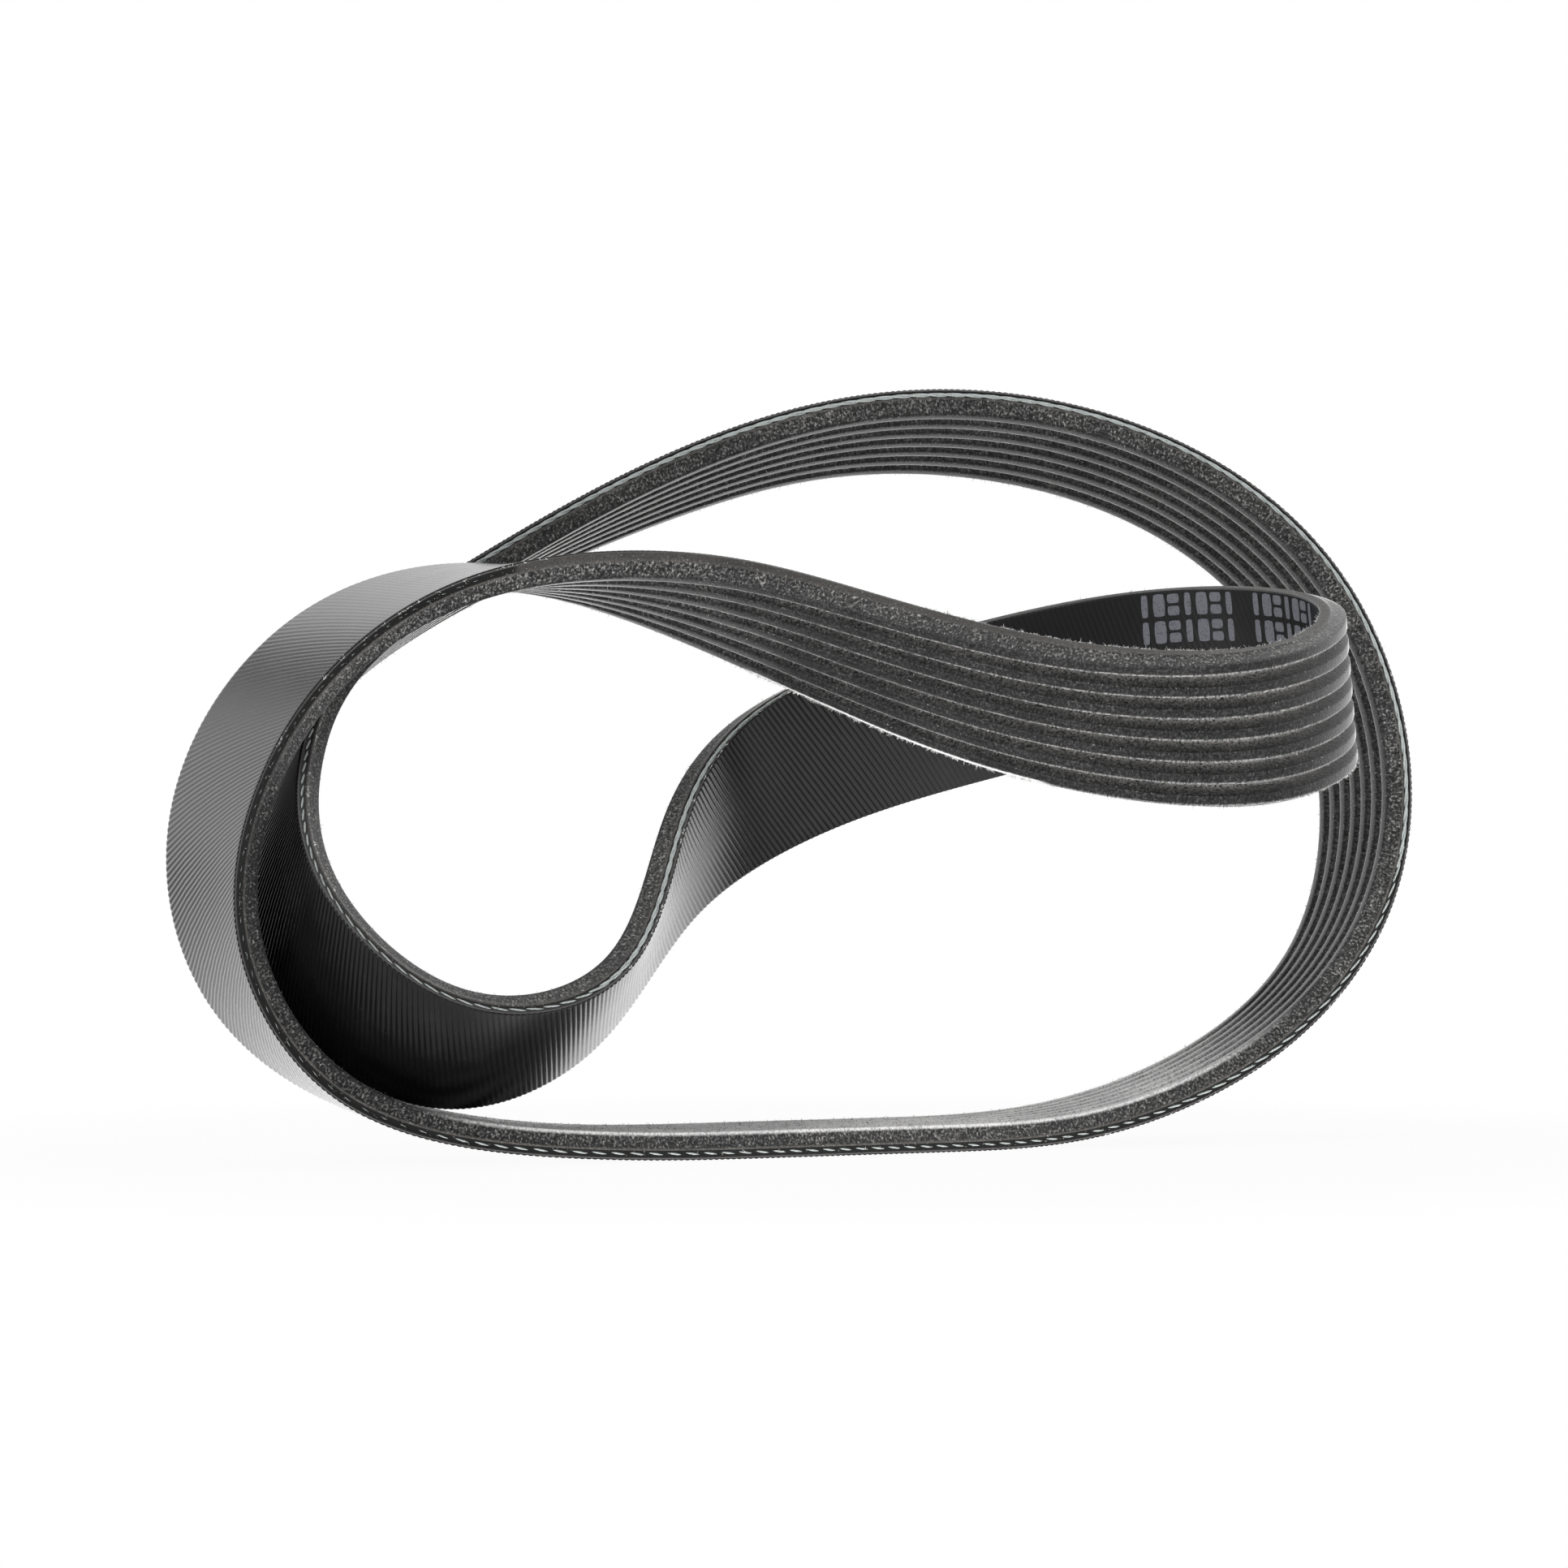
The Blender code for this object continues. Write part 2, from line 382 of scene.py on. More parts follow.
class Graph:
    """Node tree of a material or world, built by one generic method."""

    def __init__(self, tree: bpy.types.NodeTree) -> None:
        """Empty the tree and keep it.

        Args:
            tree: The node tree to fill.
        """
        tree.nodes.clear()
        self.tree = tree

    def node(self, kind: str, settings: Optional[dict[str, Any]] = None, **sockets: Any) -> bpy.types.Node:
        """Add one node.

        Args:
            kind: Type of the node.
            settings: Its own properties, set before its sockets.
            sockets: Values, colours or signals by socket name; A_1 stands for the input number 1.

        Returns:
            The new node.
        """
        node = self.tree.nodes.new(kind)
        for name, value in (settings or {}).items():
            setattr(node, name, value)
        for name, value in sockets.items():
            key = int(name[2:]) if name[:2] == "A_" else name.replace("_", " ")
            target = node.inputs[key]
            if isinstance(value, Signal):
                self.tree.links.new(value.socket, target)
            elif isinstance(value, tuple) and len(value) == 3 and len(target.default_value) == 4:
                target.default_value = (*value, 1.0)
            else:
                target.default_value = value
        return node

    def out(self, kind: str, output: Union[str, int], settings: Optional[dict[str, Any]] = None,
            **sockets: Any) -> Signal:
        """Add a node and take one of its outputs as a signal."""
        return Signal(self, self.node(kind, settings, **sockets).outputs[output])

    def maths(self, operation: str, *values: Union[Signal, Number]) -> Signal:
        """Add a Math node on one to three values."""
        sockets = {f"A_{place}": value for place, value in enumerate(values)}
        return self.out("ShaderNodeMath", 0, {"operation": operation}, **sockets)

    def blend(self, factor: Union[Signal, Number], first: Any, second: Any) -> Signal:
        """Colour that goes from first to second with the factor."""
        settings = {"data_type": "RGBA"}
        return self.out("ShaderNodeMix", 2, settings, A_0=factor, A_6=first, A_7=second)

    def spot(self) -> Signal:
        """Object coordinates of the piece."""
        return self.out("ShaderNodeTexCoord", "Object")

    def map_xy(self, layer: str) -> tuple[Signal, Signal, Signal]:
        """A UV map and its two parts.

        Args:
            layer: Name of the UV map.

        Returns:
            The vector, its first part and its second part.
        """
        vector = self.out("ShaderNodeUVMap", "UV", {"uv_map": layer})
        first, second, _ = self.parts(vector)
        return vector, first, second

    def parts(self, vector: Signal) -> tuple[Signal, ...]:
        """The three parts of a vector."""
        node = self.node("ShaderNodeSeparateXYZ", Vector=vector)
        return tuple(Signal(self, node.outputs[axis]) for axis in "XYZ")

    def rays(self, *kinds: str) -> tuple[Signal, ...]:
        """For each kind of ray, one where the ray is of that kind."""
        path = self.node("ShaderNodeLightPath")
        return tuple(Signal(self, path.outputs[f"Is {kind} Ray"]) for kind in kinds)

    def bump(self, height: Signal, distance: float, strength: float) -> Signal:
        """Normal that follows a height."""
        return self.out("ShaderNodeBump", "Normal", Height=height, Distance=distance, Strength=strength)

    def emission(self, strength: float) -> Signal:
        """Shader that gives off white light."""
        return self.out("ShaderNodeEmission", "Emission", Color=(1.0, 1.0, 1.0), Strength=strength)

    def mix(self, factor: Signal, first: Signal, second: Signal) -> Signal:
        """Shader that goes from first to second with the factor."""
        return self.out("ShaderNodeMixShader", "Shader", A_0=factor, A_1=first, A_2=second)

    def principled(self, colour: Signal, rough: Union[Signal, Number], specular: float,
                   **sockets: Any) -> Signal:
        """Principled shader from its colour, roughness, specular level and other sockets."""
        return self.out("ShaderNodeBsdfPrincipled", "BSDF", Base_Color=colour, Roughness=rough,
                        Specular_IOR_Level=specular, **sockets)

    def stretched(self, vector: Signal, scale: tuple[float, float, float]) -> Signal:
        """A vector scaled along its axes."""
        return self.out("ShaderNodeMapping", "Vector", Vector=vector, Scale=scale)

    def noise(self, vector: Signal, grain: float, detail: float = 2.0, rough: float = 0.5) -> Signal:
        """Noise with features of a given size.

        Args:
            vector: Coordinates in metres.
            grain: Size of the features in metres.
            detail: Number of finer layers.
            rough: Weight of the finer layers.

        Returns:
            The noise, around one half.
        """
        values = {"Vector": vector, "Scale": 1.0 / grain, "Detail": detail, "Roughness": rough}
        return self.out("ShaderNodeTexNoise", "Fac", {"noise_dimensions": "3D"}, **values)


class Finish:
    """Base of all finishes: makes one material and lets the finish fill it."""

    name = "finish"

    def material(self) -> bpy.types.Material:
        """Material of this finish."""
        material = bpy.data.materials.new(self.name)
        material.use_nodes = True
        graph = Graph(material.node_tree)
        surface = self.surface(graph)
        graph.node("ShaderNodeOutputMaterial", Surface=surface)
        return material

    def surface(self, graph: Graph) -> Signal:
        """Shader of this finish."""
        raise NotImplementedError


@dataclass(frozen=True)
class RibRubber(Finish):
    """Fibre-filled rubber of the body: dark rib tips, pale corner lines of fibre and painted highlight,
    painted sheen, grooves painted lighter against their shade, and cut sides.

    `frayed` is the stretch of the belt whose far corner is frayed white.  The other stretch gives where the
    painted sheen on the rib tips ends and where it starts again, because that stretch runs through the start
    of the route.
    """

    sizes: BeltSizes
    frayed: tuple[float, float]
    sheened_tips: tuple[float, float]
    name: str = "rib_rubber"
    land: Colour = (0.018, 0.018, 0.019)
    # Flanks lighter than the tips, and the grooves' bottoms light grey: painted light against the shade in the
    # grooves.
    flank: Colour = (0.038, 0.038, 0.038)
    groove_painted_light: Colour = (0.190, 0.187, 0.182)
    cut_side: Colour = (0.092, 0.086, 0.080)
    # Near white of the frayed fibres, also used for painted sheen on the rib tips.
    near_white: Colour = (0.86, 0.86, 0.86)
    fibre: Colour = (0.30, 0.295, 0.29)
    # Pale corner lines: part fibre, part painted highlight on the far corners.
    pale_fibre_and_highlight: Colour = (0.55, 0.54, 0.53)
    top_layer: Colour = (0.055, 0.053, 0.050)
    # Near black for the pits, and for painted shade in the cord recess.
    dark_tone: Colour = (0.010, 0.010, 0.010)
    grain: float = 0.40 * MM
    hair_stretch: tuple[float, float, float] = (1.0, 0.40, 1.0)
    cloud_size: float = 9.0 * MM
    tip_rise: tuple[float, float] = (0.50 * MM, 0.16 * MM)
    rim_rise: tuple[float, float] = (0.70 * MM, 0.35 * MM)
    rim_wander: float = 0.24 * MM
    rim_inset: float = 0.08 * MM
    rim_width: float = 0.27 * MM
    near_rim_width: float = 0.12 * MM
    near_rim_share: float = 0.12
    fray_width: float = 0.56 * MM
    fray_fade: float = 4.0 * MM
    groove_reach: float = 0.3 * MM
    # Rise and fades of the painted sheen on the floor strand's rib tips.
    sheen_rise: tuple[float, float] = (0.75 * MM, 0.20 * MM)
    sheen_fades: tuple[float, float] = (20.0 * MM, 40.0 * MM)
    side_rise: tuple[float, float] = (0.05 * MM, 0.015 * MM)
    top_layer_fade: tuple[float, float] = (1.25 * MM, 1.95 * MM)
    land_roughness: float = 0.55
    flank_roughness: float = 0.62
    cut_roughness: float = 0.85
    relief: float = 0.13 * MM

    def _near_tip(self, below: Signal, rise: tuple[float, float]) -> Signal:
        """Smooth rise from nought to one towards the rib tips.

        Args:
            below: Depth below the back.
            rise: Distances from the rib tips at which the rise starts and ends.

        Returns:
            The risen signal.
        """
        return below.step(self.sizes.thickness - rise[0], self.sizes.thickness - rise[1])

    @staticmethod
    def _rim(from_middle: Signal, wander: Signal, corner: float, width: float) -> Signal:
        """Line along one corner of each rib tip.

        Args:
            from_middle: Distance across from the middle of the nearest rib.
            wander: Small sideways wobble of the line.
            corner: Distance of the corner from the rib's middle, towards the near edge.
            width: Half width of the line.

        Returns:
            One on the line, nought off it.
        """
        return 1.0 - abs(from_middle - corner + wander).step(width * 0.35, width)

    @staticmethod
    def _times(graph: Graph, first: Signal, second: Signal) -> Signal:
        """Product of two colours."""
        settings = {"data_type": "RGBA", "blend_type": "MULTIPLY"}
        return graph.out("ShaderNodeMix", 2, settings, A_0=1.0, A_6=first, A_7=second)

    def _worn_edge(self, along: Signal, across: Signal, from_middle: Signal, wander: Signal) -> Signal:
        """White frayed line on the outer corner of the last rib, over one stretch of the belt.

        Args:
            along: Length along the belt.
            across: Distance across the belt.
            from_middle: Distance across from the middle of the nearest rib.
            wander: Small sideways wobble of the line.

        Returns:
            One on the line, nought off it.
        """
        line = self._rim(from_middle, wander * 1.5, -self.sizes.rib_tip / 2.0, self.fray_width)
        last = across < self.sizes.rib_pitch / 2.0 - self.sizes.half_width
        return line * along.within(self.frayed, self.fray_fade) * last

    def _cut(self, graph: Graph, below: Signal, tufts: Signal, pits: Signal) -> Signal:
        """Colour of the cut sides: a dark top layer, then grey rubber with fibres and pits.

        Args:
            graph: The material's graph.
            below: Depth below the back.
            tufts: Where fibres show.
            pits: Where the surface is pitted.

        Returns:
            The colour.
        """
        dark_top = 1.0 - below.step(*self.top_layer_fade)
        cut = graph.blend(dark_top * 0.80, self.cut_side, self.top_layer)
        cut = graph.blend((tufts * 0.55 * (1.0 - 0.75 * dark_top)).clipped(), cut, self.fibre)
        return graph.blend(pits * 0.45, cut, self.dark_tone)

    def surface(self, graph: Graph) -> Signal:
        """Shader whose colour follows the section: rib tip, flank, groove, frayed corner and cut side."""
        sizes = self.sizes
        run_map, along, _ = graph.map_xy("run")
        _, across, below = graph.map_xy("section")
        hairs = graph.noise(graph.stretched(run_map, self.hair_stretch), self.grain * 0.75, 2.0, 0.6)
        speck = graph.noise(graph.spot(), self.grain, 2.0, 0.65)
        tuft = graph.noise(graph.spot(), self.grain * 2.6, 2.0, 0.6)
        cloud = graph.noise(graph.spot(), self.cloud_size, 3.0, 0.55)

        from_middle = ((across / sizes.rib_pitch + 0.5).fraction() - 0.5) * sizes.rib_pitch
        tip = self._near_tip(below, self.tip_rise)
        side = abs(across).step(sizes.half_width - self.side_rise[0], sizes.half_width - self.side_rise[1])
        wander = (hairs - 0.5) * self.rim_wander
        half_tip = sizes.rib_tip / 2.0
        # Pale lines on the rib tips' corners, strong on the far corner and faint on the near one: part fibre,
        # part painted highlight.
        rim = self._rim(from_middle, wander, self.rim_inset - half_tip, self.rim_width)
        near_rim = self._rim(from_middle, wander, half_tip, self.near_rim_width) * self.near_rim_share
        rim = (rim + near_rim) * self._near_tip(below, self.rim_rise)

        tufts = (speck.step(0.54, 0.66) * 0.6 + hairs.step(0.55, 0.68) * 0.6).clipped()
        pits = (1.0 - speck.step(0.36, 0.46)) * 0.8 * (1.0 - tip * 0.55)
        mottle = (speck.step(0.38, 0.62) * 0.6 + hairs.step(0.38, 0.62) * 0.4).clipped()
        ribbed = below.step(sizes.root_depth - 0.06 * MM, sizes.root_depth + 0.02 * MM)
        outer = (abs(across) > sizes.half_width - sizes.rib_pitch / 2.0 + half_tip) * ribbed
        # Painted light: flanks lighter than the tips, and much lighter deep in the grooves, against the
        # grooves' shade.
        inside = 1.0 - below.step(sizes.root_depth, sizes.thickness - self.groove_reach)
        flank = graph.blend(inside * (1.0 - outer), self.flank, self.groove_painted_light)
        flank = graph.blend((tufts * (0.26 + 0.60 * outer) * (0.6 + 0.8 * tuft)).clipped(), flank, self.fibre)
        land = graph.blend(tufts * 0.12, self.land, self.fibre)
        ribs = graph.blend(pits, graph.blend(tip, flank, land), self.dark_tone)
        ribs = self._times(graph, ribs, graph.blend(mottle, (0.50, 0.50, 0.50), (1.50, 1.50, 1.50)))
        # Painted highlight and fibre: the corner lines are blended towards pale.
        corner_fibre_and_highlight = (rim * (0.12 + 0.88 * hairs.step(0.40, 0.62)) * 0.50).clipped()
        ribs = graph.blend(corner_fibre_and_highlight, ribs, self.pale_fibre_and_highlight)
        # Painted sheen: along the floor strand the rib tips are painted near white.
        dust_end, dust_start = self.sheened_tips
        paled = (1.0 - along.step(dust_end, dust_end + self.sheen_fades[0])) \
            + along.step(dust_start - self.sheen_fades[1], dust_start)
        paled = paled * self._near_tip(below, self.sheen_rise)
        ribs = graph.blend((paled * (0.55 + 0.9 * mottle)).clipped(), ribs, self.near_white)
        ribs = graph.blend(self._worn_edge(along, across, from_middle, wander), ribs, self.near_white)
        # Painted sheen: rib surfaces seen at a grazing angle are painted near white.
        facing = graph.out("ShaderNodeLayerWeight", "Facing", Blend=0.5)
        ribs = graph.blend(facing.step(0.86, 0.95) * (0.40 + 0.6 * mottle), ribs, self.near_white)
        # Painted shade: the cord recess, above the grooves and off the cut sides, is painted near black.
        ribs = graph.blend(ribbed, self.dark_tone, ribs)

        shade = graph.blend(cloud.step(0.30, 0.70), (0.82, 0.82, 0.82), (1.14, 1.13, 1.11))
        cut = self._cut(graph, below, tufts, pits)
        colour = self._times(graph, graph.blend(side, ribs, cut), shade)
        normal = graph.bump(hairs * 0.5 + speck * 0.8, self.relief, 0.9)
        smoother = self.flank_roughness - self.land_roughness
        rough = self.flank_roughness - smoother * tip + 0.3 * (speck - 0.5)
        rough = rough * (1.0 - side) + self.cut_roughness * side
        return graph.principled(colour, rough, 0.45, Normal=normal, Sheen_Weight=0.55, Sheen_Roughness=0.35)


@dataclass(frozen=True)
class BackRubber(Finish):
    """Dark semi-gloss rubber of the ridged backing.

    `ridged` is the stretch whose ridges have a painted highlight on their crests and painted shade in their
    troughs, and `pocket` the stretch that lies close inside the outer band and gets painted shade.
    """

    ridged: tuple[float, float]
    pocket: tuple[float, float]
    name: str = "back_rubber"
    base: Colour = (0.014, 0.014, 0.0145)
    dust: Colour = (0.055, 0.054, 0.055)
    # Painted highlight on the ridge crests, and painted shade in their troughs and in the pocket.
    crest_highlight: Colour = (0.034, 0.034, 0.035)
    trough_shade: Colour = (0.004, 0.004, 0.004)
    cut_side: Colour = (0.110, 0.107, 0.102)
    roughness: float = 0.20
    grain: float = 0.13 * MM
    cloud_size: float = 6.0 * MM
    dust_size: float = 0.5 * MM
    relief: float = 0.018 * MM
    trough_depths: tuple[float, float] = (0.02 * MM, 0.10 * MM)
    side_depths: tuple[float, float] = (0.18 * MM, 0.30 * MM)
    ridged_fade: float = 25.0 * MM
    pocket_fade: float = 15.0 * MM
    # Share of the painted shade in the pocket.
    pocket_shade_share: float = 0.65

    def surface(self, graph: Graph) -> Signal:
        """Shader with a fine grain, faint dust, cloudy gloss, ridges with painted highlight and shade, and
        painted shade in the pocket.
        """
        _, along, _ = graph.map_xy("run")
        _, _, below = graph.map_xy("section")
        grain = graph.noise(graph.spot(), self.grain, 2.0, 0.6)
        cloud = graph.noise(graph.spot(), self.cloud_size, 4.0, 0.6)
        speck = graph.noise(graph.spot(), self.dust_size, 2.0, 0.8)
        paled = (speck.step(0.66, 0.78) * 0.5 + cloud.step(0.45, 0.75) * 0.12).clipped()
        side = below.step(*self.side_depths)
        # Painted highlight on the ridge crests and painted shade in their troughs, over the ridged stretch.
        ridges = graph.blend(below.step(*self.trough_depths), self.crest_highlight, self.trough_shade)
        colour = graph.blend(along.within(self.ridged, self.ridged_fade), self.base, ridges)
        colour = graph.blend(paled, colour, self.dust)
        colour = graph.blend(side, colour, self.cut_side)
        rough = self.roughness + 0.10 * (cloud - 0.5) + 0.08 * (grain - 0.5) + 0.35 * side
        gloss = graph.principled(colour, rough, 0.55, Normal=graph.bump(grain, self.relief, 0.7))
        # Painted shade: over the pocket stretch the gloss is mixed towards a dark diffuse shader.
        pocket_shade = graph.out("ShaderNodeBsdfDiffuse", "BSDF", Color=self.trough_shade)
        pocket = along.within(self.pocket, self.pocket_fade)
        return graph.mix(pocket * self.pocket_shade_share * (1.0 - side), gloss, pocket_shade)


@dataclass(frozen=True)
class CordYarn(Finish):
    """Pale twisted yarn of the tension cords, sooty between its filaments."""

    name: str = "cord_yarn"
    pale: Colour = (0.53, 0.57, 0.56)
    sooty: Colour = (0.20, 0.225, 0.22)
    roughness: float = 0.7
    filament_width: float = 0.42 * MM
    filament_lead: float = 0.9 * MM
    soot_size: float = 1.1 * MM
    fine_size: float = 0.12 * MM
    relief: float = 0.012 * MM

    def surface(self, graph: Graph) -> Signal:
        """Shader with fine filaments that wind round the strand."""
        _, run, around = graph.map_xy("run")
        turn = 2.0 * math.pi
        phase = around * (turn / self.filament_width) + run * (turn / self.filament_lead)
        filament = graph.maths("SINE", phase)
        dark_tone = graph.noise(graph.spot(), self.soot_size, 3.0, 0.6)
        fine = graph.noise(graph.spot(), self.fine_size, 2.0, 0.6)
        worn = dark_tone.step(0.45, 0.75) * 0.40 + fine.step(0.50, 0.80) * 0.25 + filament.step(0.2, 1.0) * 0.45
        colour = graph.blend(worn.clipped(), self.pale, self.sooty)
        return graph.principled(colour, self.roughness, 0.3, Normal=graph.bump(filament, self.relief, 0.6))


@dataclass(frozen=True)
class LooseFibre(Finish):
    """Pale chopped fibre that stands out of the cut rubber."""

    name: str = "loose_fibre"
    pale: Colour = (0.58, 0.57, 0.56)
    dark: Colour = (0.05, 0.05, 0.05)
    tone_size: float = 0.4 * MM

    def surface(self, graph: Graph) -> Signal:
        """Shader that varies from fibre to fibre."""
        tone = graph.noise(graph.spot(), self.tone_size, 1.0, 0.5)
        return graph.principled(graph.blend(tone.step(0.48, 0.60), self.dark, self.pale), 0.8, 0.25)


@dataclass(frozen=True)
class WornInk(Finish):
    """Grey ink of the print marks, worn thin in specks."""

    name: str = "worn_ink"
    ink: Colour = (0.185, 0.190, 0.215)
    bare: Colour = (0.070, 0.070, 0.080)
    speck_size: float = 0.35 * MM
    relief: float = 0.01 * MM

    def surface(self, graph: Graph) -> Signal:
        """Shader with small worn specks."""
        worn = graph.noise(graph.spot(), self.speck_size, 3.0, 0.7)
        colour = graph.blend(worn.step(0.52, 0.66) * 0.8, self.ink, self.bare)
        return graph.principled(colour, 0.75, 0.25, Normal=graph.bump(worn, self.relief, 0.5))


@dataclass(frozen=True)
class StudioFloor(Finish):
    """White floor that keeps a faint shadow close to the belt.

    The camera sees it nearly white.  In the belt's gloss it is dim towards the front and bright towards the
    rear, and the light that it sends up to the belt has a level of its own.
    """

    name: str = "studio_floor"
    paper: Colour = (0.86, 0.86, 0.86)
    glow: float = 0.95
    shadow_reach: float = 190.0 * MM
    mirrored_front: float = 0.35
    mirrored_rear: float = 1.7
    rearward: tuple[float, float] = (0.15, 0.68)
    bounce: float = 2.7

    def surface(self, graph: Graph) -> Signal:
        """Shader with one answer for what the camera sees, one for gloss and one for bounced light."""
        camera, through, glossy, diffuse = graph.rays("Camera", "Transmission", "Glossy", "Diffuse")
        across, deep, _ = graph.parts(graph.spot())
        from_middle = graph.maths("SQRT", across * across + deep * deep)
        far = from_middle.step(self.shadow_reach * 0.6, self.shadow_reach)
        share = (camera + through).clipped() * (self.glow + (1.0 - self.glow) * far)
        paper = graph.out("ShaderNodeBsdfDiffuse", "BSDF", Color=self.paper)
        seen = graph.mix(share, paper, graph.emission(1.0))
        _, towards, _ = graph.parts(graph.out("ShaderNodeNewGeometry", "Incoming"))
        front, rear = graph.emission(self.mirrored_front), graph.emission(self.mirrored_rear)
        mirrored = graph.mix((towards * -1.0).step(*self.rearward), front, rear)
        return graph.mix(glossy, graph.mix(diffuse, seen, graph.emission(self.bounce)), mirrored)


def only(*objects: bpy.types.Object) -> None:
    """Select these objects alone, the first one active."""
    bpy.ops.object.select_all(action="DESELECT")
    for item in objects:
        item.select_set(True)
    bpy.context.view_layer.objects.active = objects[0]


def join(name: str, parts: Sequence[bpy.types.Object]) -> bpy.types.Object:
    """Join parts into one named piece.

    Args:
        name: Name of the piece.
        parts: Objects to join.

    Returns:
        The joined piece.
    """
    only(*parts)
    if len(parts) > 1:
        bpy.ops.object.join()
    piece = bpy.context.active_object
    piece.name = name
    piece.data.name = name
    return piece


class Sweeper:
    """Makes closed pieces from a grid that is rolled round a section and laid along the route."""

    WELD = 0.001 * MM

    def __init__(self, route: Route) -> None:
        """Keep the route.

        Args:
            route: The belt's route.
        """
        self.route = route

    def closed(self, name: str, run: np.ndarray, across: np.ndarray, below: np.ndarray,
               crease: float = 180.0) -> bpy.types.Object:
        """Closed tube around the whole route.

        Args:
            name: Name of the piece.
            run: Lengths along the back, one for each ring or for each corner, rising with the rings.
            across: Distances across the belt, rings by section points.
            below: Depths below the back, rings by section points.
            crease: Angle in degrees above which an edge is shown sharp.

        Returns:
            The piece, with the UV maps "run" and "section".
        """
        rings, corners = across.shape
        if run.ndim == 1:
            run = np.repeat(run[:, None], corners, axis=1)
        bpy.ops.object.select_all(action="DESELECT")
        bpy.ops.mesh.primitive_grid_add(x_subdivisions=corners, y_subdivisions=rings, size=1.0)
        piece = bpy.context.active_object
        piece.name = name
        mesh = piece.data
        index = np.arange((rings + 1) * (corners + 1))
        row, column = index // (corners + 1), index % (corners + 1)
        wide = across[row % rings, column % corners]
        deep = below[row % rings, column % corners]
        along = run[row % rings, column % corners] + np.where(row == rings, self.route.length, 0.0)
        mesh.vertices.foreach_set("co", self.route.points(along, wide, deep).astype(np.float32).ravel())
        around = self._perimeter(across.mean(axis=0), below.mean(axis=0))[column]
        self._lay_map(mesh, "run", along, around)
        self._lay_map(mesh, "section", wide, deep)
        mesh.update()
        self._weld(piece)
        if crease < 180.0:
            bpy.ops.object.shade_smooth_by_angle(angle=math.radians(crease))
        else:
            bpy.ops.object.shade_smooth()
        return piece

    @staticmethod
    def _perimeter(across: np.ndarray, below: np.ndarray) -> np.ndarray:
        """Length round a section at each of its points, and once more at its first."""
        ring = np.stack([across, below], axis=1)
        steps = np.linalg.norm(np.roll(ring, -1, axis=0) - ring, axis=1)
        return np.concatenate([[0.0], np.cumsum(steps)])

    @staticmethod
    def _lay_map(mesh: bpy.types.Mesh, name: str, first: np.ndarray, second: np.ndarray) -> None:
        """Write a UV map from two values at each vertex."""
        layers = mesh.uv_layers
        layer = layers[0] if name == "run" and len(layers) == 1 else layers.new(name=name)
        layer.name = name
        corner = np.zeros(len(mesh.loops), np.int32)
        mesh.loops.foreach_get("vertex_index", corner)
        pairs = np.stack([first[corner], second[corner]], axis=1).astype(np.float32)
        layer.data.foreach_set("uv", pairs.ravel())

    def _weld(self, piece: bpy.types.Object) -> None:
        """Close the seams of a rolled grid and turn its faces outwards."""
        only(piece)
        bpy.ops.object.mode_set(mode="EDIT")
        bpy.ops.mesh.select_all(action="SELECT")
        bpy.ops.mesh.remove_doubles(threshold=self.WELD)
        bpy.ops.mesh.normals_make_consistent(inside=False)
        bpy.ops.object.mode_set(mode="OBJECT")


@dataclass
class EdgeBaring:
    """How the cut edge bares its cord along the belt: stretches by control point."""

    edge: Edge
    stretches: tuple[tuple[float, Exposure], ...]
    fade: float = 6.0 * MM

    def inset(self, route: Route, run: np.ndarray) -> np.ndarray:
        """Inset of the cord's axis at each length along the belt.

        Args:
            route: The belt's route.
            run: Lengths along the back.

        Returns:
            Insets in metres.
        """
        starts = np.array([route.of_point(index) for index, _ in self.stretches])
        depths = np.array([exposure.value for _, exposure in self.stretches])
        fine = np.arange(0.0, route.length, 1.0 * MM)
        held = depths[(np.searchsorted(starts, fine, side="right") - 1) % len(starts)]
        reach = int(self.fade / MM)
        window = np.hanning(2 * reach + 1)
        padded = np.concatenate([held[-reach:], held, held[:reach]])
        smooth = np.convolve(padded, window / window.sum(), mode="valid")
        return np.interp(np.mod(run, route.length), fine, smooth, period=route.length)


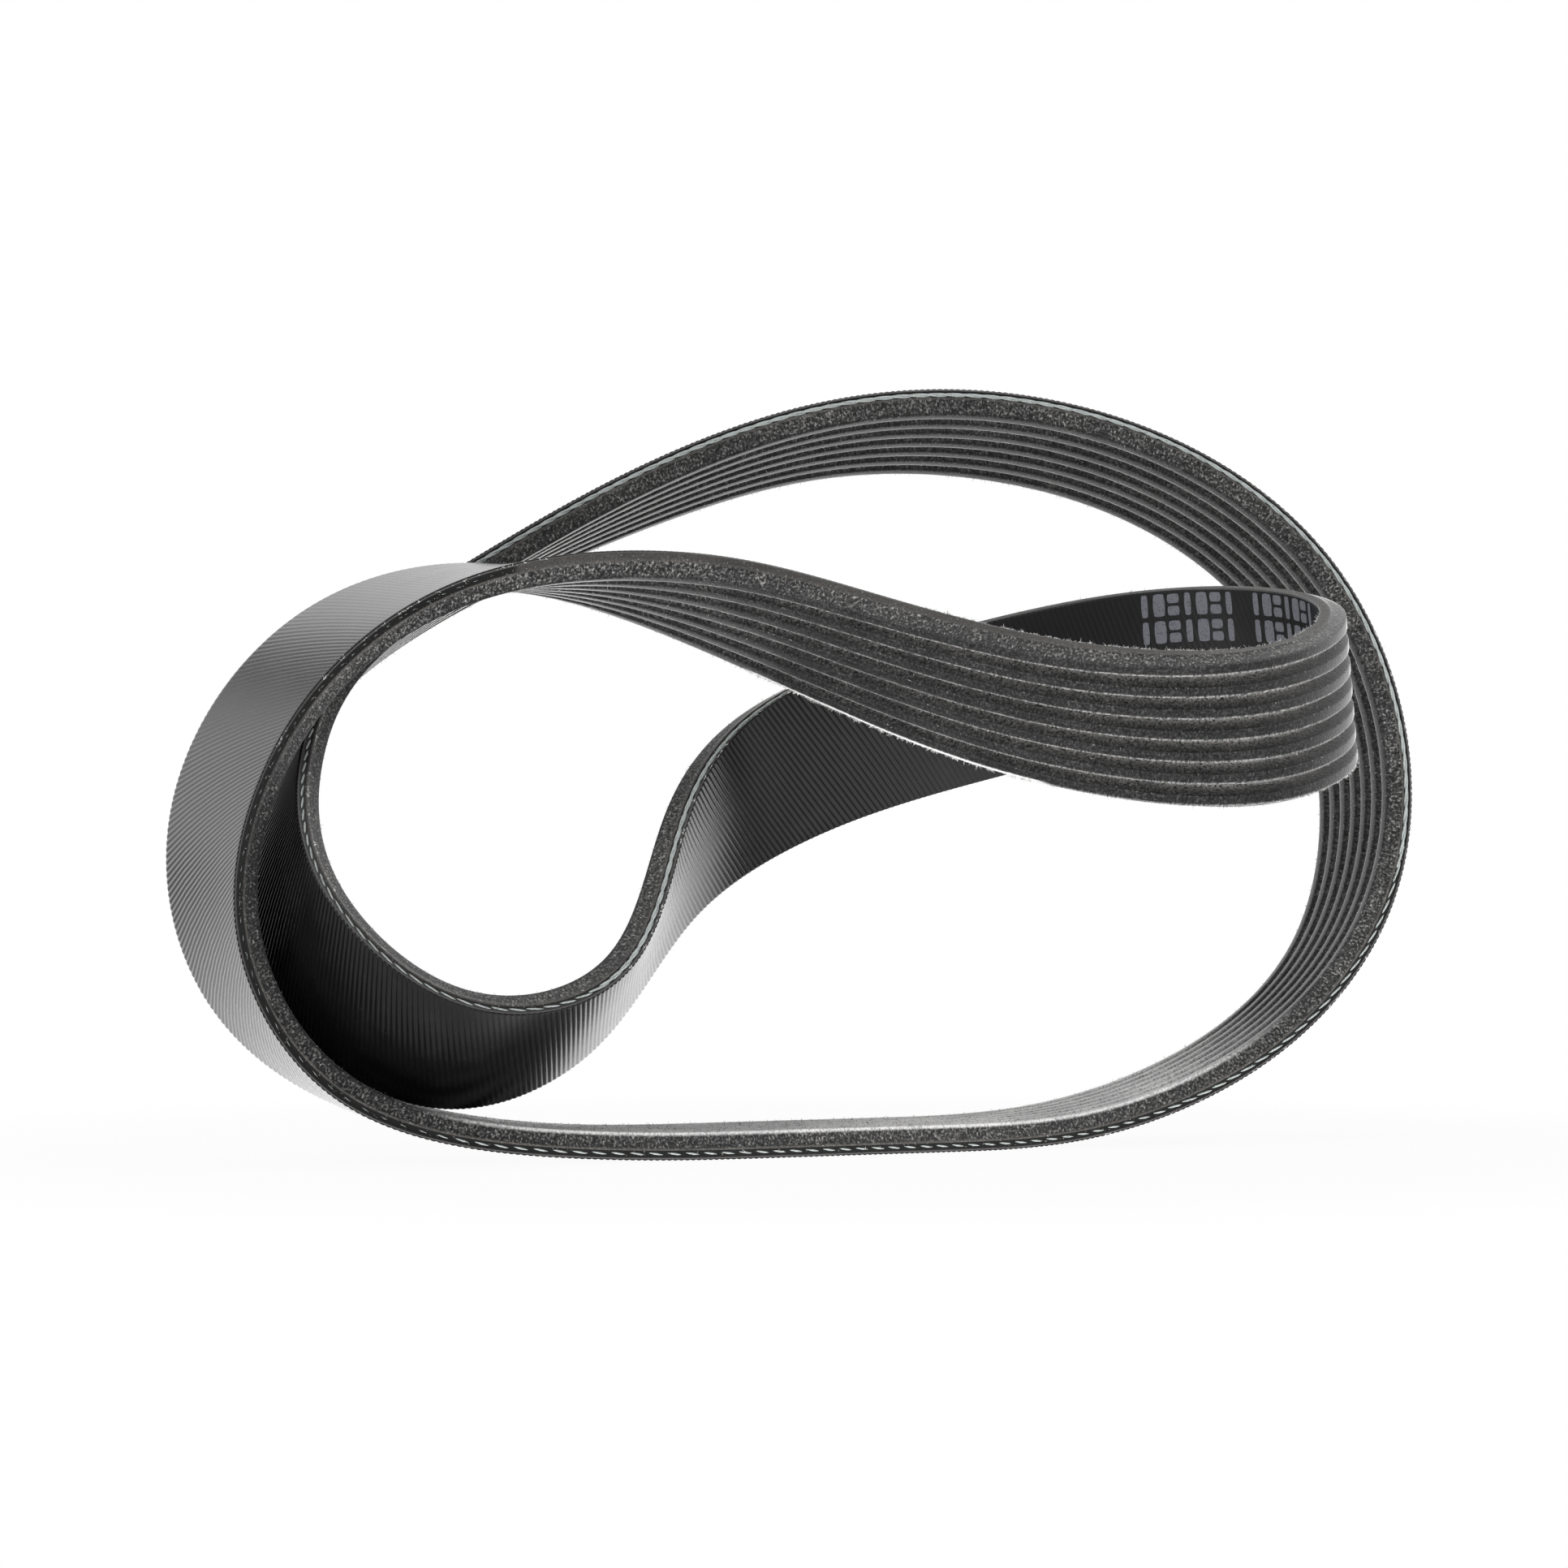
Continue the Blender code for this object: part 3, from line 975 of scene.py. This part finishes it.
@dataclass
class BeltBody:
    """The belt's body below its backing: cut sides, cord recess, and seven rounded ribs."""

    sizes: BeltSizes
    route: Route
    nearby: EdgeBaring
    beyond: EdgeBaring
    ring_step: float = 1.45 * MM
    top: float = 0.36 * MM
    hidden_step: float = 0.7 * MM
    recess_from: float = 0.52 * MM
    recess_to: float = 1.50 * MM
    recess_deep: float = 0.24 * MM
    covered_from: float = 0.60 * MM
    tip_round: float = 0.22 * MM
    root_round: float = 0.16 * MM

    def outline(self) -> tuple[np.ndarray, np.ndarray, np.ndarray]:
        """Section of the body, from the near top corner round to the far one.

        Returns:
            Distances across, depths below the back, and the share of the cord recess at each point.
        """
        half = self.sizes.half_width
        near_side = [(half, self.top, 0.0), (half, self.recess_from - 0.07 * MM, 0.0),
                     (half, self.recess_from + 0.05 * MM, 1.0), (half, self.recess_to - 0.05 * MM, 1.0),
                     (half, self.recess_to + 0.07 * MM, 0.0), (half, self.sizes.root_depth - 0.1 * MM, 0.0)]
        points = list(near_side)
        for rib in range(self.sizes.rib_count):
            middle = half - (rib + 0.5) * self.sizes.rib_pitch
            points += [(middle + x, d, 0.0) for x, d in self._rib()]
        points += [(-across, below, recess) for across, below, recess in reversed(near_side)]
        inner = half - self.hidden_step
        points += [(-inner, self.top + self.hidden_step, 0.0), (inner, self.top + self.hidden_step, 0.0)]
        table = np.array(points)
        return table[:, 0], table[:, 1], table[:, 2]

    def _rib(self) -> list[tuple[float, float]]:
        """One rib as (across, below) pairs from its near root to its far root."""
        sizes = self.sizes
        half_tip, run = sizes.rib_tip / 2.0, sizes.flank_run
        root, deep = sizes.root_depth, sizes.thickness
        lean = sizes.flank_angle
        half = [(half_tip + run + 0.08 * MM, root)]
        half.append((half_tip + run - self.root_round * math.sin(lean), root + self.root_round * 0.7))
        for share in (0.32, 0.62):
            half.append((half_tip + run * (1.0 - share), root + sizes.rib_height * share))
        for share in (0.0, 0.5, 1.0):
            turn = lean + (math.pi / 2 - lean) * share
            across = half_tip - self.tip_round * 0.62 + self.tip_round * math.cos(turn)
            below = deep - self.tip_round + self.tip_round * math.sin(turn)
            half.append((across, below))
        return half + [(0.0, deep)] + [(-across, below) for across, below in reversed(half)]

    def build(self) -> bpy.types.Object:
        """Sweep the body and dress it."""
        count = round(self.route.length / self.ring_step)
        run = np.arange(count) * self.route.length / count
        across, below, recess = self.outline()
        wide = np.repeat(across[None, :], count, axis=0)
        for baring in (self.nearby, self.beyond):
            openness = (self.covered_from - baring.inset(self.route, run)) \
                / (self.covered_from - Exposure.OPEN.value)
            cut = self.recess_deep * np.clip(openness, 0.0, 1.0)
            mine = (np.sign(across) == baring.edge.value) * recess
            wide -= baring.edge.value * cut[:, None] * mine[None, :]
        deep = np.repeat(below[None, :], count, axis=0)
        piece = Sweeper(self.route).closed("belt_body", run, wide, deep, crease=50.0)
        frayed = self.route.of_point(8.2), self.route.of_point(9.95)
        # Stretch of the painted sheen on the rib tips, through the start of the route.
        sheened_tips = self.route.of_point(2.2), self.route.of_point(30.8)
        piece.data.materials.append(RibRubber(self.sizes, frayed, sheened_tips).material())
        return piece


@dataclass
class Backing:
    """The thin backing on the flat side, with fine slanting ridges that fade where it is worn smooth.

    `wear` gives the share of the ridges' depth that is left, by control point.  `support` is how far inside
    each corner a row of points keeps the back flat.  `chamfer_share` is the share of a ridge's depth that
    reaches the outer edge of the corner's chamfer, which is pulled inwards by `chamfer_pull` times that depth.
    """

    sizes: BeltSizes
    route: Route
    ridge_pitch: float = 0.95 * MM
    ridge_depth: float = 0.14 * MM
    slant: float = math.radians(18.0)
    wear: tuple[tuple[float, float], ...] = ((0.0, 1.0), (5.1, 1.0), (5.6, 0.22), (7.6, 0.22), (10.5, 0.35),
                                             (14.2, 0.35), (15.2, 1.0), (32.0, 1.0))
    layer: float = 0.44 * MM
    corner: float = 0.10 * MM
    support: float = 0.3 * MM
    draft: float = 0.01 * MM
    chamfer_share: float = 0.35
    chamfer_pull: float = 0.8
    profile: tuple[tuple[float, float], ...] = ((0.0, 1.0), (0.22, 0.35), (0.5, 0.0), (0.78, 0.35))

    def build(self) -> bpy.types.Object:
        """Sweep the backing with its ridges cut inwards, and dress it."""
        ridges = round(self.route.length / self.ridge_pitch)
        pitch = self.route.length / ridges
        run = np.concatenate([(np.arange(ridges) + phase) * pitch for phase, _ in self.profile])
        cut = np.concatenate([np.full(ridges, depth) for _, depth in self.profile]) * self.ridge_depth
        order = np.argsort(run, kind="stable")
        run, cut = run[order], cut[order]
        half = self.sizes.half_width
        brink = half - self.corner - self.support
        middle = [brink, half / 2.0, 0.0, -half / 2.0, -brink]
        near_side = [(half - self.draft, self.layer, 0.0), (half, self.corner * 1.5, self.chamfer_share),
                     (half - self.corner, 0.0, 1.0)]
        section = near_side + [(across, 0.0, 1.0) for across in middle]
        section += [(-across, below, share) for across, below, share in reversed(near_side)]
        section += [(across, self.layer, 0.0) for across in reversed(middle)]
        table = np.array(section)
        wide = np.repeat(table[None, :, 0], len(run), axis=0)
        slanted = run[:, None] + wide * math.tan(self.slant)
        places = [self.route.of_point(index) for index, _ in self.wear[:-1]] + [self.route.length]
        left = np.interp(np.mod(slanted, self.route.length), places, [share for _, share in self.wear])
        cut = cut[:, None] * left
        deep = table[None, :, 1] + cut * table[None, :, 2]
        on_chamfer = table[None, :, 2] == self.chamfer_share
        wide -= np.sign(wide) * cut * on_chamfer * self.chamfer_pull
        piece = Sweeper(self.route).closed("backing", slanted, wide, deep, crease=60.0)
        # Stretch whose ridges get painted highlight and shade.
        ridged = self.route.of_point(11.2), self.route.of_point(18.0)
        # Stretch inside the outer band that gets painted shade.
        pocket = self.route.of_point(18.9), self.route.of_point(21.6)
        piece.data.materials.append(BackRubber(ridged, pocket).material())
        return piece


@dataclass
class TensionCord:
    """The outermost tension cord of one edge: strands twisted round each other."""

    sizes: BeltSizes
    route: Route
    baring: EdgeBaring
    strands: int = 3
    strand_radius: float = 0.20 * MM
    twist_radius: float = 0.19 * MM
    twist_pitch: float = 8.7 * MM
    below: float = 1.03 * MM
    ring_step: float = 0.62 * MM
    sides: int = 8

    def build(self) -> bpy.types.Object:
        """Sweep the strands along the edge and dress them."""
        count = round(self.route.length / self.ring_step)
        run = np.arange(count) * self.route.length / count
        turns = round(self.route.length / self.twist_pitch)
        inset = self.baring.inset(self.route, run)
        axis = self.baring.edge.value * (self.sizes.half_width - inset)
        round_strand = np.arange(self.sides) * 2.0 * math.pi / self.sides
        parts = []
        for strand in range(self.strands):
            phase = 2.0 * math.pi * (turns * run / self.route.length + strand / self.strands)
            wide = (axis + self.twist_radius * np.cos(phase))[:, None] \
                + self.strand_radius * np.cos(round_strand)[None, :]
            deep = (self.below + self.twist_radius * np.sin(phase))[:, None] \
                + self.strand_radius * np.sin(round_strand)[None, :]
            parts.append(Sweeper(self.route).closed("strand", run, wide, deep))
        piece = join(f"tension_cord_{self.baring.edge.name.lower()}", parts)
        piece.data.materials.append(CordYarn().material())
        return piece


@dataclass
class Bristles:
    """Base of all loose fibres: seats thin three-sided spikes on the belt's surface.

    `blunt` is the tip's share of the radius, and `askew` a direction from which each spike's sides are turned.
    """

    sizes: BeltSizes
    route: Route
    name: str = "bristles"
    count: int = 1000
    length: tuple[float, float] = (0.18 * MM, 0.48 * MM)
    radius: float = 0.03 * MM
    disorder: float = 0.75
    length_spread: float = 0.25
    rooted: float = 0.06 * MM
    seed: int = 20
    floor_gap: float = 0.6 * MM
    blunt: float = 0.25
    askew: tuple[float, float, float] = (0.31, 0.47, 0.83)

    def seats(self, draw: np.random.Generator) -> tuple[np.ndarray, ...]:
        """Seats of the fibres in the belt's own coordinates.

        Args:
            draw: Source of random numbers.

        Returns:
            Lengths along, distances across, depths below, and the two parts of the outward direction.
        """
        raise NotImplementedError

    def finish(self) -> Finish:
        """Finish of the fibres."""
        return LooseFibre()

    def build(self) -> bpy.types.Object:
        """Model one spike, copy it to every seat, and dress the whole."""
        bpy.ops.object.select_all(action="DESELECT")
        bpy.ops.mesh.primitive_cone_add(vertices=3, radius1=1.0, radius2=self.blunt, depth=1.0,
                                        location=(0, 0, 0.5))
        piece = bpy.context.active_object
        bpy.ops.object.transform_apply(location=True, rotation=True, scale=True)
        only(piece)
        bpy.ops.object.modifier_add(type="TRIANGULATE")
        bpy.ops.object.modifier_apply(modifier="Triangulate")
        spike = np.array([tuple(v.co) for v in piece.data.vertices])
        faces = np.array([tuple(p.vertices) for p in piece.data.polygons])

        draw = np.random.default_rng(self.seed)
        run, across, below, out_across, out_below = self.seats(draw)
        total = len(run)
        length = draw.uniform(*self.length, total) * np.exp(draw.normal(0.0, self.length_spread, total))
        lean = draw.normal(0.0, self.disorder, (total, 3))
        seat = self.route.points(run, across, below)
        _, side, back = self.route.at(run)
        outward = out_across[:, None] * side - out_below[:, None] * back + lean
        outward /= np.linalg.norm(outward, axis=1)[:, None]
        keep = seat[:, 2] + length * np.minimum(outward[:, 2], 0.0) > self.floor_gap
        seat, outward, length = seat[keep], outward[keep], length[keep]
        first = np.cross(outward, self.askew)
        first /= np.linalg.norm(first, axis=1)[:, None]
        second = np.cross(outward, first)
        start = seat - self.rooted * outward
        points = (start[:, None, :]
                  + spike[None, :, 0, None] * self.radius * first[:, None, :]
                  + spike[None, :, 1, None] * self.radius * second[:, None, :]
                  + spike[None, :, 2, None] * length[:, None, None] * outward[:, None, :])
        index = faces[None, :, :] + (np.arange(len(seat)) * len(spike))[:, None, None]
        mesh = bpy.data.meshes.new(self.name)
        mesh.from_pydata(points.reshape(-1, 3).tolist(), [], index.reshape(-1, 3).tolist())
        bpy.data.meshes.remove(piece.data)
        fuzz = bpy.data.objects.new(self.name, mesh)
        bpy.context.scene.collection.objects.link(fuzz)
        only(fuzz)
        bpy.ops.object.mode_set(mode="EDIT")
        bpy.ops.mesh.select_all(action="SELECT")
        bpy.ops.mesh.normals_make_consistent(inside=False)
        bpy.ops.object.mode_set(mode="OBJECT")
        mesh.materials.append(self.finish().material())
        return fuzz


@dataclass
class RibFibres(Bristles):
    """Chopped fibres that stand out of the ribs' corners and flanks and of the cut sides.

    A draw under `far_corner_below` seats a fibre on a rib's far corner, one under `near_corner_below` on its
    near corner, and the others on a flank, or for `side_share` of them on a cut side.
    """

    name: str = "rib_fibres"
    count: int = 22000
    radius: float = 0.04 * MM
    far_corner_below: float = 0.46
    near_corner_below: float = 0.62
    side_share: float = 0.35
    flank_reach: float = 0.85

    def seats(self, draw: np.random.Generator) -> tuple[np.ndarray, ...]:
        """Seats all along the belt, most of them on the rib tips' corners."""
        sizes = self.sizes
        run = draw.random(self.count) * self.route.length
        rib = draw.integers(0, sizes.rib_count, self.count)
        middle = sizes.half_width - (rib + 0.5) * sizes.rib_pitch
        kind = draw.random(self.count)
        jitter = draw.normal(0.0, 1.0, self.count)
        spread = draw.random(self.count)
        lean = sizes.flank_angle
        far_corner, flank = kind < self.far_corner_below, kind >= self.near_corner_below
        near_corner = ~far_corner & ~flank
        sign = np.where(far_corner, -1.0, np.where(near_corner, 1.0, np.sign(draw.random(self.count) - 0.5)))
        on_corner = far_corner | near_corner
        across = np.where(on_corner, sizes.rib_tip / 2.0 + 0.03 * MM * jitter,
                          sizes.rib_tip / 2.0 + sizes.flank_run * spread * self.flank_reach)
        below = np.where(on_corner, sizes.thickness - 0.05 * MM,
                         sizes.thickness - sizes.rib_height * spread * self.flank_reach - 0.02 * MM)
        out_across = np.where(on_corner, 0.75, math.cos(lean)) * sign
        out_below = np.where(on_corner, 0.65, math.sin(lean))
        side = flank & (draw.random(self.count) < self.side_share)
        edge = np.sign(draw.random(self.count) - 0.5)
        across = np.where(side, edge * sizes.half_width, middle + sign * across)
        below = np.where(side, (0.7 + 1.2 * spread) * MM, below)
        out_across = np.where(side, edge, out_across)
        out_below = np.where(side, 0.0, out_below)
        return run, across, below, out_across, out_below


@dataclass(frozen=True)
class Fray:
    """One stretch of a corner along which the belt is frayed, by control point.

    `across` and `below` place the corner; `out_across` and `out_below` are the fibres' mean direction.
    """

    start: float
    end: float
    across: float
    below: float
    out_across: float
    out_below: float
    share: float


@dataclass
class FrayedCorners(Bristles):
    """White frayed fibres along the corners where the belt was cut."""

    name: str = "frayed_corners"
    count: int = 2600
    length: tuple[float, float] = (0.15 * MM, 0.50 * MM)
    radius: float = 0.05 * MM
    disorder: float = 0.9
    tuft_size: int = 5
    tuft_spread: float = 0.22 * MM
    corner_spread: float = 0.05 * MM
    frays: tuple[Fray, ...] = ()

    def seats(self, draw: np.random.Generator) -> tuple[np.ndarray, ...]:
        """Seats in small tufts along the frayed stretches."""
        found = []
        for fray in self.frays:
            total = round(self.count * fray.share)
            start, end = self.route.of_point(fray.start), self.route.of_point(fray.end)
            tuft = draw.uniform(start, end, max(total // self.tuft_size, 1))
            run = tuft[draw.integers(0, len(tuft), total)] + draw.normal(0.0, self.tuft_spread, total)
            jitter = draw.normal(0.0, self.corner_spread, total)
            found.append((run, fray.across + jitter, fray.below + abs(jitter),
                          np.full(total, fray.out_across), np.full(total, fray.out_below)))
        return tuple(np.concatenate(parts) for parts in zip(*found))

    def finish(self) -> Finish:
        """Finish of the fibres, nearly all of them white."""
        return LooseFibre(name="near_white", pale=(0.88, 0.88, 0.87), dark=(0.45, 0.45, 0.44))


@dataclass
class PrintMarks:
    """Two rows of plain worn blocks on the back inside the narrow turn."""

    sizes: BeltSizes
    route: Route
    start: float = 12.0
    rows: tuple[float, ...] = (10.1 * MM, 5.7 * MM)
    block: tuple[float, float] = (1.95 * MM, 3.7 * MM)
    gap: float = 0.42 * MM
    groups: tuple[int, ...] = (7, 7)
    group_gap: float = 2.8 * MM
    lift: float = 0.012 * MM
    film: float = 0.05 * MM
    cells: int = 6
    rounding: tuple[float, float] = (0.30, 0.16)
    narrow: float = 0.55
    split_offset: float = 0.27
    split_height: float = 0.42
    blocks: list[bpy.types.Object] = field(default_factory=list)

    def _block(self, run: float, middle: float, wide: float, high: float) -> None:
        """Add one rounded block, laid on the back.

        Args:
            run: Length along the belt of its middle.
            middle: Distance across of its middle.
            wide: Size along the belt.
            high: Size across the belt.
        """
        bpy.ops.object.select_all(action="DESELECT")
        bpy.ops.mesh.primitive_grid_add(x_subdivisions=self.cells, y_subdivisions=self.cells, size=2.0)
        piece = bpy.context.active_object
        flat = np.array([tuple(v.co) for v in piece.data.vertices])
        x, y = flat[:, 0], flat[:, 1]
        along = run + x * np.sqrt(1.0 - self.rounding[0] * y ** 2) * wide / 2.0
        across = middle + y * np.sqrt(1.0 - self.rounding[1] * x ** 2) * high / 2.0
        co = self.route.points(along, across, np.full(len(along), -self.lift))
        piece.data.vertices.foreach_set("co", co.astype(np.float32).ravel())
        piece.data.update()
        wall = piece.modifiers.new("film", "SOLIDIFY")
        wall.thickness = self.film
        wall.offset = 0.0
        bpy.ops.object.modifier_apply(modifier="film")
        self.blocks.append(piece)

    def build(self) -> bpy.types.Object:
        """Lay out both rows and join them: narrow, split and full blocks take turns."""
        origin = self.route.of_point(self.start)
        wide, high = self.block
        for row in self.rows:
            run = origin
            for group in self.groups:
                for place in range(group):
                    if place % 3 == 1:
                        for offset in (self.split_offset, -self.split_offset):
                            self._block(run, row + high * offset, wide, high * self.split_height)
                    else:
                        self._block(run, row, wide * (self.narrow if place % 3 == 0 else 1.0), high)
                    run += wide + self.gap
                run += self.group_gap
        piece = join("print_marks", self.blocks)
        piece.data.materials.append(WornInk().material())
        bpy.ops.object.shade_smooth_by_angle(angle=math.radians(40.0))
        return piece


@dataclass
class Lamp:
    """One soft area lamp aimed at the middle of the belt."""

    name: str
    place: tuple[float, float, float]
    size: tuple[float, float]
    power: float

    def build(self, aim: Vector) -> None:
        """Add the lamp and turn it to the aim."""
        light = bpy.data.lights.new(self.name, "AREA")
        light.shape = "RECTANGLE"
        light.size, light.size_y = self.size
        light.energy = self.power
        lamp = bpy.data.objects.new(self.name, light)
        lamp.location = self.place
        lamp.rotation_euler = (aim - Vector(self.place)).to_track_quat("-Z", "Y").to_euler()
        bpy.context.scene.collection.objects.link(lamp)


@dataclass
class Studio:
    """White floor and surroundings, soft lamps, and the camera at the photograph's view."""

    shift: np.ndarray
    camera_distance: float = 0.950
    camera_height: float = 57.57 * MM
    focal_share: float = 7560.0 / 1932.0
    sensor: float = 36.0
    floor_size: float = 12.0
    floor_drop: float = 0.05 * MM
    front_level: float = 0.11
    side_level: float = 1.8
    rear_level: float = 1.05
    ceiling_share: float = 0.35
    gap_share: float = 0.30
    gap_towards: tuple[float, float, float] = (-0.575, 0.585, 0.572)
    fill_level: float = 0.32
    side_rise: tuple[float, float] = (-0.80, 0.10)
    rear_fall: tuple[float, float] = (0.72, 1.02)
    ceiling_rise: tuple[float, float] = (0.62, 0.80)
    gap_reach: tuple[float, float] = (0.08, 0.19)
    aim: tuple[float, float, float] = (0.0, 0.0, 0.055)
    lamps: tuple[Lamp, ...] = (
        Lamp("key_lamp", (-0.55, -0.55, 0.75), (0.5, 0.5), 2.4),
        Lamp("top_lamp", (0.10, 0.10, 0.95), (0.8, 0.6), 2.8),
    )

    def build(self) -> None:
        """Set up floor, surroundings, lamps and camera."""
        bpy.context.scene.view_settings.view_transform = "Standard"
        self._floor()
        self._surroundings()
        for lamp in self.lamps:
            lamp.build(Vector(self.aim))
        self._camera()

    def _floor(self) -> None:
        """Add the floor just below the belt."""
        bpy.ops.object.select_all(action="DESELECT")
        bpy.ops.mesh.primitive_plane_add(size=self.floor_size, location=(0.0, 0.0, -self.floor_drop))
        floor = bpy.context.active_object
        floor.name = "studio_floor"
        floor.data.materials.append(StudioFloor().material())

    def _surroundings(self) -> None:
        """White to the camera; in the belt's gloss bright beside and behind it, dim in front and overhead.

        One small dim gap behind the belt's upper left keeps a dark patch in the gloss of the left band.
        """
        world = bpy.data.worlds.new("studio")
        bpy.context.scene.world = world
        world.use_nodes = True
        graph = Graph(world.node_tree)
        camera, through, glossy = graph.rays("Camera", "Transmission", "Glossy")
        seen = (camera + through).clipped()
        direction = graph.out("ShaderNodeTexCoord", "Generated")
        _, depth, height = graph.parts(direction)
        mirrored = self.front_level + (self.side_level - self.front_level) * depth.step(*self.side_rise)
        mirrored = mirrored - (self.side_level - self.rear_level) * depth.step(*self.rear_fall)
        mirrored = mirrored * (1.0 - (1.0 - self.ceiling_share) * height.step(*self.ceiling_rise))
        from_gap = graph.out("ShaderNodeVectorMath", "Value", {"operation": "DISTANCE"},
                             A_0=direction, A_1=self.gap_towards)
        mirrored = mirrored * (self.gap_share + (1.0 - self.gap_share) * from_gap.step(*self.gap_reach))
        level = glossy * mirrored + (1.0 - glossy) * self.fill_level
        level = seen + (1.0 - seen) * level
        sky = graph.out("ShaderNodeBackground", "Background", Color=(1.0, 1.0, 1.0), Strength=level)
        graph.node("ShaderNodeOutputWorld", Surface=sky)

    def _camera(self) -> None:
        """Add the level camera, which looks along +Y."""
        data = bpy.data.cameras.new("camera")
        data.sensor_width = self.sensor
        data.lens = self.sensor * self.focal_share
        data.clip_start = 0.01
        camera = bpy.data.objects.new("camera", data)
        camera.location = (self.shift[0], self.shift[1] - self.camera_distance, self.camera_height)
        camera.rotation_euler = (math.pi / 2, 0.0, 0.0)
        bpy.context.scene.collection.objects.link(camera)
        bpy.context.scene.camera = camera


def report(piece: bpy.types.Object) -> None:
    """Put a piece on the belt's body and log its size.

    Args:
        piece: A finished piece.
    """
    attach(piece, BODY)
    triangles = sum(len(face.vertices) - 2 for face in piece.data.polygons)
    LOG.info("%s: %d triangles", piece.name, triangles)


def main() -> None:
    """Build the belt's pieces and the studio round them."""
    logging.basicConfig(level=logging.INFO, format="%(name)s: %(message)s")
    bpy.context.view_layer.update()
    sizes = BeltSizes()
    route = Route(sizes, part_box(NODE))
    LOG.info("route length %.4f m, shift %s", route.length, route.shift)
    near = EdgeBaring(Edge.NEAR, ((0.0, Exposure.DASHED), (2.6, Exposure.GRAZED), (7.0, Exposure.BURIED),
                                  (14.6, Exposure.OPEN), (17.2, Exposure.NARROW), (21.7, Exposure.OPEN),
                                  (28.6, Exposure.NARROW), (30.6, Exposure.DASHED)))
    far = EdgeBaring(Edge.FAR, ((0.0, Exposure.DASHED), (8.0, Exposure.OPEN), (13.0, Exposure.GRAZED),
                                (20.0, Exposure.DASHED), (26.0, Exposure.BURIED)))
    body = BeltBody(sizes, route, near, far).build()
    report(body)
    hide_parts(NODE)
    report(Backing(sizes, route).build())
    report(TensionCord(sizes, route, near).build())
    report(TensionCord(sizes, route, far).build())
    report(RibFibres(sizes, route).build())
    half, corner = sizes.half_width, sizes.half_width - sizes.rib_pitch / 2.0 + sizes.rib_tip / 2.0
    frays = (Fray(8.2, 9.95, -corner, sizes.thickness - 0.08 * MM, -0.7, 0.6, 0.34),
             Fray(9.1, 11.7, half - 0.02 * MM, 0.10 * MM, 0.5, -0.8, 0.30),
             Fray(10.9, 12.0, -corner, sizes.thickness - 0.08 * MM, -0.7, 0.6, 0.10),
             Fray(14.6, 17.0, half, 0.25 * MM, 0.8, -0.3, 0.06),
             Fray(5.2, 7.2, half, 0.30 * MM, 0.9, -0.3, 0.06),
             Fray(18.5, 21.5, half, sizes.root_depth, 0.9, 0.3, 0.06),
             Fray(26.0, 31.0, half, 0.25 * MM, 0.9, -0.3, 0.08))
    report(FrayedCorners(sizes, route, frays=frays).build())
    report(PrintMarks(sizes, route).build())
    Studio(route.shift).build()


if __name__ == "__main__":
    main()
